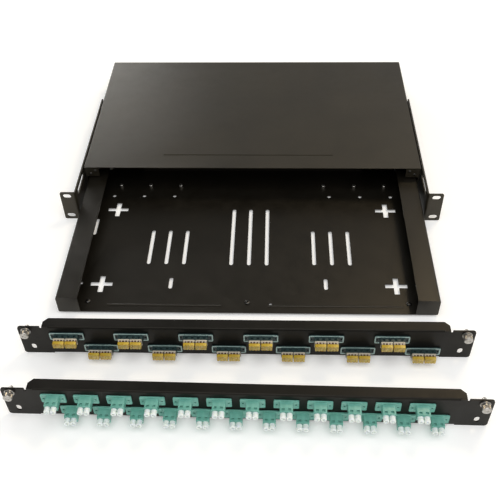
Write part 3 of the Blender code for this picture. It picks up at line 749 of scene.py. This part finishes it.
def plate_mesh(name, kind):
    """A front plate in its own frame: folded sheet, ears, relief notches and cut-outs."""
    wide, deep, cut = TOP_FOLD
    bm = bmesh.new()
    path = bend([(PLATE_T + FOOT_FOLD[1], 0), (0, 0), (0, UNIT_H), (PLATE_T + deep, UNIT_H)],
                PLATE_BEND_R)
    prism(bm, sheet_outline(path, PLATE_T), "X", -wide / 2, wide / 2)
    made = mesh_object(name, bm)
    bm = bmesh.new()
    for side in (LEFT, RIGHT):
        edge = sorted((side * (wide / 2 - 6 * MM), side * RACK_HALF))
        add_box(bm, (edge[0], 0, 0), (edge[1], PLATE_T, UNIT_H))
    combine(made, bm, "UNION")

    bm = bmesh.new()
    through = (-MM, PLATE_T + MM)
    for side in (LEFT, RIGHT):
        for z, way in ((0, 1), (UNIT_H, -1)):
            prism(bm, corner_waste((side * RACK_HALF, z), PLATE_R, -side, way), "Y", *through)
        prism(bm, stadium((side * OVAL_AT[0], OVAL_AT[1]), *OVAL), "Y", *through)
        prism(bm, disc((side * RACK_HOLE[0], RACK_HOLE[1]), LATCH_HOLE_R), "Y", *through)
        notch = side * (wide / 2 + RELIEF[0] / 2)
        prism(bm, rounded(notch - RELIEF[0] / 2, notch + RELIEF[0] / 2,
                          UNIT_H - RELIEF[1], UNIT_H + 3 * MM, 0.6 * MM), "Y", *through)
        # cut corners of the top fold
        x, y = side * wide / 2, PLATE_T + deep
        prism(bm, [(x - side * cut, y + MM), (x - side * cut, y), (x, y - cut),
                   (x + side * MM, y - cut), (x + side * MM, y + MM)], "Z",
              UNIT_H - 4 * MM, UNIT_H + MM)
        # the foot is narrower, with cut corners
        x, y = side * FOOT_FOLD[0] / 2, PLATE_T + FOOT_FOLD[1]
        prism(bm, [(x, PLATE_T + MM), (x, y - FOOT_FOLD[2]), (x - side * FOOT_FOLD[2], y),
                   (x - side * FOOT_FOLD[2], y + MM), (x + side * 9 * MM, y + MM),
                   (x + side * 9 * MM, PLATE_T + MM)], "Z", -MM, PLATE_T + 2 * MM)
    w, h = kind["body"][0] / 2 + GAP, kind["body"][1] / 2 + GAP
    for x, z in adapter_places(kind):
        add_box(bm, (x - w, through[0], z - h), (x + w, through[1], z + h))
    for x in (FRONT_SCREW_X[0], 0.0, FRONT_SCREW_X[1]):
        prism(bm, disc((x, FOOT_HOLE_Y), SMALL_HOLE_R, 16), "Z", -MM, 3 * MM)
    combine(made, bm, "DIFFERENCE")
    soften(made, 0.28 * MM)
    return made


def adapter_mesh(name, kind):
    """A flanged adapter: moulded body with latch windows, flange with rivet holes, rear sockets."""
    (fw, fh), (bw, bh) = kind["flange"], kind["body"]
    rear = PLATE_T + ADAPTER_REAR
    bm = bmesh.new()
    prism(bm, rounded(-bw / 2, bw / 2, -bh / 2, bh / 2, 0.7 * MM, 3), "Y", -kind["front"], rear)
    made = mesh_object(name, bm)
    bm = bmesh.new()
    prism(bm, rounded(-fw / 2, fw / 2, -fh / 2, fh / 2, 1.3 * MM, 4), "Y",
          -GAP - ADAPTER_FLANGE_T, -GAP)
    combine(made, bm, "UNION")
    bm = bmesh.new()
    for side in (LEFT, RIGHT):
        hole = side * (bw / 2 + fw / 2) / 2
        prism(bm, disc((hole, 0), FLANGE_HOLE_R, 16), "Y", -GAP - ADAPTER_FLANGE_T - MM, GAP)
    across, along, deep = LATCH_WINDOW
    near = LATCH_WINDOW_AT - kind["front"]
    wide, high, inward = SOCKET
    key, key_near, key_far = KEYWAY
    for x in kind["ports"]:
        add_box(bm, (x - across / 2, near, bh / 2 - deep), (x + across / 2, near + along, bh / 2 + MM))
        add_box(bm, (x - wide / 2, rear - inward, -high / 2), (x + wide / 2, rear + MM, high / 2))
        add_box(bm, (x - key / 2, rear - key_far, 2.0 * MM), (x + key / 2, rear - key_near, bh))
    combine(made, bm, "DIFFERENCE")
    soften(made, 0.18 * MM)
    apply_modifiers(made)
    return made


def rim_mesh(name, kind):
    """The raised frame round the front of a quad adapter's flange."""
    (w, h), (lip, proud) = kind["flange"], RIM
    face = -GAP - ADAPTER_FLANGE_T
    front, back = face - proud, face + 0.3 * MM
    bm = bmesh.new()
    prism(bm, rounded(-w / 2, w / 2, -h / 2, h / 2, 1.3 * MM, 4), "Y", front, back)
    made = mesh_object(name, bm)
    bm = bmesh.new()
    prism(bm, rounded(-w / 2 + lip, w / 2 - lip, -h / 2 + lip, h / 2 - lip, 0.5 * MM, 3), "Y",
          front - MM, back + MM)
    combine(made, bm, "DIFFERENCE")
    soften(made, 0.15 * MM)
    apply_modifiers(made)
    return made


def cap_lip_mesh(name):
    """The pale part of a duplex cap: a lip against the adapter, with four ribs before it."""
    bm = bmesh.new()
    prism(bm, rounded(-6.2 * MM, 6.2 * MM, -4.5 * MM, 4.5 * MM, 0.7 * MM, 3), "Y", -1.5 * MM, -EPS)
    made = mesh_object(name, bm)
    bm = bmesh.new()
    for x in (-4.9 * MM, -2.0 * MM, 1.4 * MM, 4.5 * MM):
        add_box(bm, (x - 0.6 * MM, -3.0 * MM, -4.1 * MM), (x + 0.6 * MM, -1.2 * MM, 4.1 * MM))
    combine(made, bm, "UNION")
    soften(made, 0.15 * MM)
    apply_modifiers(made)
    return made


def amber_cap_mesh(name):
    """The amber part of a duplex cap: a narrow neck and a grip with finger grooves."""
    bm = bmesh.new()
    prism(bm, rounded(-5.6 * MM, 5.6 * MM, -3.7 * MM, 3.7 * MM, 0.5 * MM, 3), "Y",
          -4.0 * MM, -1.2 * MM)
    made = mesh_object(name, bm)
    bm = bmesh.new()
    prism(bm, rounded(-6.05 * MM, 6.05 * MM, -4.0 * MM, 4.0 * MM, 0.9 * MM, 4), "Y",
          -7.0 * MM, -3.6 * MM)
    for v in bm.verts:
        if v.co.y < -5 * MM:
            v.co.x *= 0.95
            v.co.z *= 0.88
    combine(made, bm, "UNION")
    bm = bmesh.new()
    for x in (-3.1 * MM, 0.0, 3.1 * MM):
        prism(bm, disc((x, -7.3 * MM), 0.75 * MM, 14), "Z", -6 * MM, 6 * MM)
    combine(made, bm, "DIFFERENCE")
    soften(made, 0.22 * MM)
    apply_modifiers(made)
    return made


def white_cap_mesh(name):
    """A round dust cap with a ring and a dimple in its front."""
    r, length = 3.0 * MM, 6.0 * MM
    return turned(name, [(0, length - 2.2 * MM), (1.1 * MM, length - 2.1 * MM),
                         (1.45 * MM, length - 0.5 * MM), (1.75 * MM, length - 0.05 * MM),
                         (2.0 * MM, length), (2.5 * MM, length - 0.1 * MM),
                         (r - 0.15 * MM, length - 0.45 * MM), (r, length - 1.0 * MM),
                         (r, length - 2.4 * MM), (r - 0.6 * MM, length - 2.7 * MM),
                         (r - 0.6 * MM, length - 3.3 * MM), (r - 0.1 * MM, length - 3.6 * MM),
                         (r - 0.1 * MM, EPS), (0, EPS)], 32)


def build_latch(words, side, plate_place, body, finish, sources):
    """The collar in the plate's ear and the fluted plunger that slides in it."""
    place = plate_place @ Matrix.Translation((side * RACK_HOLE[0], 0, RACK_HOLE[1])) @ FACING_FRONT
    collar = copy_of(f"{words}_latch_ring", sources["collar"])
    present(collar, finish["nickel"], body + "_panel", [f"{words}_latch_collar"], place)
    knob = copy_of(f"{words}_latch_knob", sources["knob"])
    present(knob, finish["nickel"], words + "_plunger", [f"{words}_latch_plunger"], place)


def latch_sources():
    """Turned pieces whose own +Z points to the front, measured from the plate's front face."""
    face = PLATE_LO.y
    ring_front, ring_back = face - COLLAR_LO.y, face - COLLAR_HI.y
    ring_r = (COLLAR_HI.x - COLLAR_LO.x) / 2
    collar = turned("ring_source", [
        (LATCH_BORE_R, ring_front), (ring_r - 0.4 * MM, ring_front), (ring_r, ring_front - 0.4 * MM),
        (ring_r, 0.1 * MM), (LATCH_BARREL_R, 0.1 * MM), (LATCH_BARREL_R, ring_back),
        (LATCH_BORE_R, ring_back), (LATCH_BORE_R, ring_front)], 40)
    tip, end = face - LATCH_LO.y, face - LATCH_HI.y
    head_r = (LATCH_HI.x - LATCH_LO.x) / 2
    waist_r = head_r - 0.7 * MM
    root = ring_front + 0.3 * MM
    fluted = (root + 1.6 * MM, tip - 1.05 * MM)
    flutes, depth = FLUTES
    knob = turned("knob_source", [
        (0, tip - 0.5 * MM), (1.6 * MM, tip - 0.5 * MM), (1.9 * MM, tip), (head_r - 1.0 * MM, tip),
        (head_r - 0.3 * MM, tip - 0.3 * MM), (head_r, tip - 1.0 * MM), (head_r, fluted[1]),
        (head_r, fluted[0]), (head_r, root + 1.5 * MM), (waist_r, root + 1.1 * MM),
        (waist_r, root), (LATCH_PIN_R, root), (LATCH_PIN_R, end + 1.0 * MM),
        (LATCH_PIN_R - 0.8 * MM, end), (0, end)], 96, flutes, depth, fluted)
    return {"collar": collar, "knob": knob}


def cap_parts(word):
    """What a cap is made of: (name, mesh, coat, slot, places across the adapter's front)."""
    if word == "quad":
        pair = (-QUAD_CAP_PITCH / 2, QUAD_CAP_PITCH / 2)
        return [("cap_lip", cap_lip_mesh("cap_lip_source"), "lip", "amber_cap", pair),
                ("dust_cap", amber_cap_mesh("dust_cap_source"), "amber", "amber_cap", pair)]
    pair = (-DUPLEX_CAP_PITCH / 2, DUPLEX_CAP_PITCH / 2)
    return [("dust_cap", white_cap_mesh("dust_cap_source"), "white", "white_cap", pair)]


def build_panel(word, kind, place, coat, cap_turn, finish, latches):
    """One front plate with its latches, adapters and dust caps."""
    body = word + "_panel"
    plate = plate_mesh(word + "_front_plate", kind)
    present(plate, finish["plate"], body, [word + "_plate"], place)
    for side, hand in ((LEFT, "left"), (RIGHT, "right")):
        build_latch(f"{word}_{hand}", side, place, word, finish, latches)
    adapter = adapter_mesh(word + "_adapter_source", kind)
    sources = [adapter]
    if word == "quad":
        rim = rim_mesh("rim_source", kind)
        sources.append(rim)
    caps = cap_parts(word)
    sources.extend(mesh for _, mesh, _, _, _ in caps)
    for i, (x, z) in enumerate(adapter_places(kind)):
        at = place @ Matrix.Translation((x, 0, z))
        number = f"{i + 1:02d}"
        made = copy_of(f"{word}_adapter_{number}", adapter)
        present(made, finish[coat], body, [f"lc_{word}_adapter_{number}"], at)
        if word == "quad":
            made = copy_of(f"quad_adapter_rim_{number}", rim)
            present(made, finish["quad_rim"], body, (), at)
        for part, mesh, cap_coat, cap_slot, pair in caps:
            for offset, hand in zip(pair, "ab"):
                made = copy_of(f"{word}_{part}_{number}{hand}", mesh)
                there = at @ Matrix.Translation((offset, -kind["front"], 0)) @ cap_turn
                present(made, finish[cap_coat], body, (), there)
    for source in sources:
        bpy.data.objects.remove(source, do_unlink=True)


def build_plates(finish):
    """The quad plate square to the drawer, and the duplex plate a little askew ahead of it."""
    latches = latch_sources()
    quad_place = Matrix.Translation((0, PLATE_LO.y, 0))
    duplex_place = (Matrix.Translation((DUPLEX_AT[0], EAR_FACE - DUPLEX_AT[1], 0))
                    @ Matrix.Rotation(DUPLEX_TURN, 4, "Z"))
    build_panel("quad", QUAD, quad_place, "quad_body", Matrix.Identity(4), finish, latches)
    build_panel("duplex", DUPLEX, duplex_place, "duplex", FACING_FRONT, finish, latches)
    for source in latches.values():
        bpy.data.objects.remove(source, do_unlink=True)


def dress_runners(finish):
    """Coats for the frame's own rails and glide strips, which show as they are."""
    for word in ("left", "right"):
        for node, coat in ((word + "_guide_rail", "drawer"), (word + "_glide_strip", "nylon")):
            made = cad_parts[node]
            made.data.materials.clear()
            made.data.materials.append(finish[coat])


# ---------------------------------------------------------------- stage, light and camera
def build_stage():
    """A plain white floor under the object."""
    bm = bmesh.new()
    bmesh.ops.create_grid(bm, x_segments=1, y_segments=1, size=6.0)
    floor = mesh_object("floor", bm)
    made, tree, shader = new_material("white_floor")
    shade = spread(tree, noise(tree, 1.5, 2.0), 0.0, 1.0)
    tree.links.new(blend_colours(tree, shade, (0.89, 0.89, 0.88), (0.91, 0.91, 0.90)),
                   shader.inputs["Base Color"])
    shader.inputs["Roughness"].default_value = 0.9
    shader.inputs["Specular IOR Level"].default_value = 0.1
    shader.inputs["Emission Color"].default_value = (1.0, 0.99, 0.97, 1.0)
    # it glows more away from the object, where the lights don't reach
    away = tree.nodes.new("ShaderNodeVectorMath")
    away.operation = "LENGTH"
    tree.links.new(tree.nodes.new("ShaderNodeTexCoord").outputs["Object"], away.inputs[0])
    tree.links.new(spread(tree, away.outputs["Value"], 0.24, 0.85, cut=(1.3, 3.2)),
                   shader.inputs["Emission Strength"])
    floor.data.materials.append(made)
    floor.location.z = min(CAD_BOX[0][2], 0.0) - 0.05 * MM


def area_light(name, place, target, size, power, colour=(1.0, 1.0, 1.0)):
    """A rectangular lamp, aimed at a target."""
    data = bpy.data.lights.new(name, "AREA")
    data.shape = "RECTANGLE"
    data.size, data.size_y = size
    data.energy = power
    data.color = colour
    made = bpy.data.objects.new(name, data)
    bpy.context.scene.collection.objects.link(made)
    made.location = place
    aim = Vector(target) - Vector(place)
    made.rotation_euler = aim.to_track_quat("-Z", "Y").to_euler()


def build_light():
    """A room that is darker overhead and to the left, and three soft lamps."""
    world = bpy.data.worlds.new("studio")
    bpy.context.scene.world = world
    world.use_nodes = True
    tree = world.node_tree
    sky = tree.nodes["Background"]
    parts = tree.nodes.new("ShaderNodeSeparateXYZ")
    tree.links.new(tree.nodes.new("ShaderNodeTexCoord").outputs["Generated"], parts.inputs[0])
    height = spread(tree, parts.outputs["Z"], 0.0, 1.0, cut=(0.25, 0.80))
    tree.links.new(blend_colours(tree, height, (0.78, 0.78, 0.78), (0.20, 0.20, 0.20)),
                   sky.inputs["Color"])
    tree.links.new(spread(tree, parts.outputs["X"], 0.62, 1.25, cut=(-0.6, 0.6)),
                   sky.inputs["Strength"])
    area_light("window", (-1.10, 1.75, 0.55), (-0.1, 0.0, 0.0), (1.2, 0.5), 15.0,
               (1.0, 0.99, 0.97))
    area_light("overhead", (0.1, -0.95, 2.1), (0.0, -0.2, 0.0), (2.4, 1.8), 31.0)
    area_light("warm_wall", (0.80, 0.65, 1.75), (0.2, -0.25, 0.0), (0.5, 0.4), 9.0,
               (1.0, 0.82, 0.56))
    scene = bpy.context.scene
    scene.view_settings.view_transform = "Standard"
    scene.view_settings.look = "None"


def build_camera():
    """Ahead of the drawer and above it, looking down at 45 degrees and a little to the left."""
    data = bpy.data.cameras.new("camera")
    data.lens = LENS
    data.sensor_width = 36.0
    made = bpy.data.objects.new("camera", data)
    bpy.context.scene.collection.objects.link(made)
    ahead = Vector((math.sin(YAW) * math.cos(PITCH), math.cos(YAW) * math.cos(PITCH),
                    math.sin(PITCH)))
    level = Vector((math.cos(YAW), -math.sin(YAW), 0))
    upright = level.cross(ahead)
    right = level * math.cos(ROLL) + upright * math.sin(ROLL)
    up = upright * math.cos(ROLL) - level * math.sin(ROLL)
    turn = Matrix((right, up, -ahead)).transposed().to_4x4()
    made.matrix_world = Matrix.Translation(Vector(CAMERA_AT) + Vector((0, EAR_FACE, 0))) @ turn
    bpy.context.scene.camera = made


finish = build_materials()
build_chassis(finish)
build_cover(finish)
build_brackets(finish)
build_bracket_screws(finish)
build_corner_rivets(finish)
build_drawer_fixings(finish)
build_grommets(finish)
build_drawer(finish)
build_plates(finish)
dress_runners(finish)
build_stage()
build_light()
build_camera()
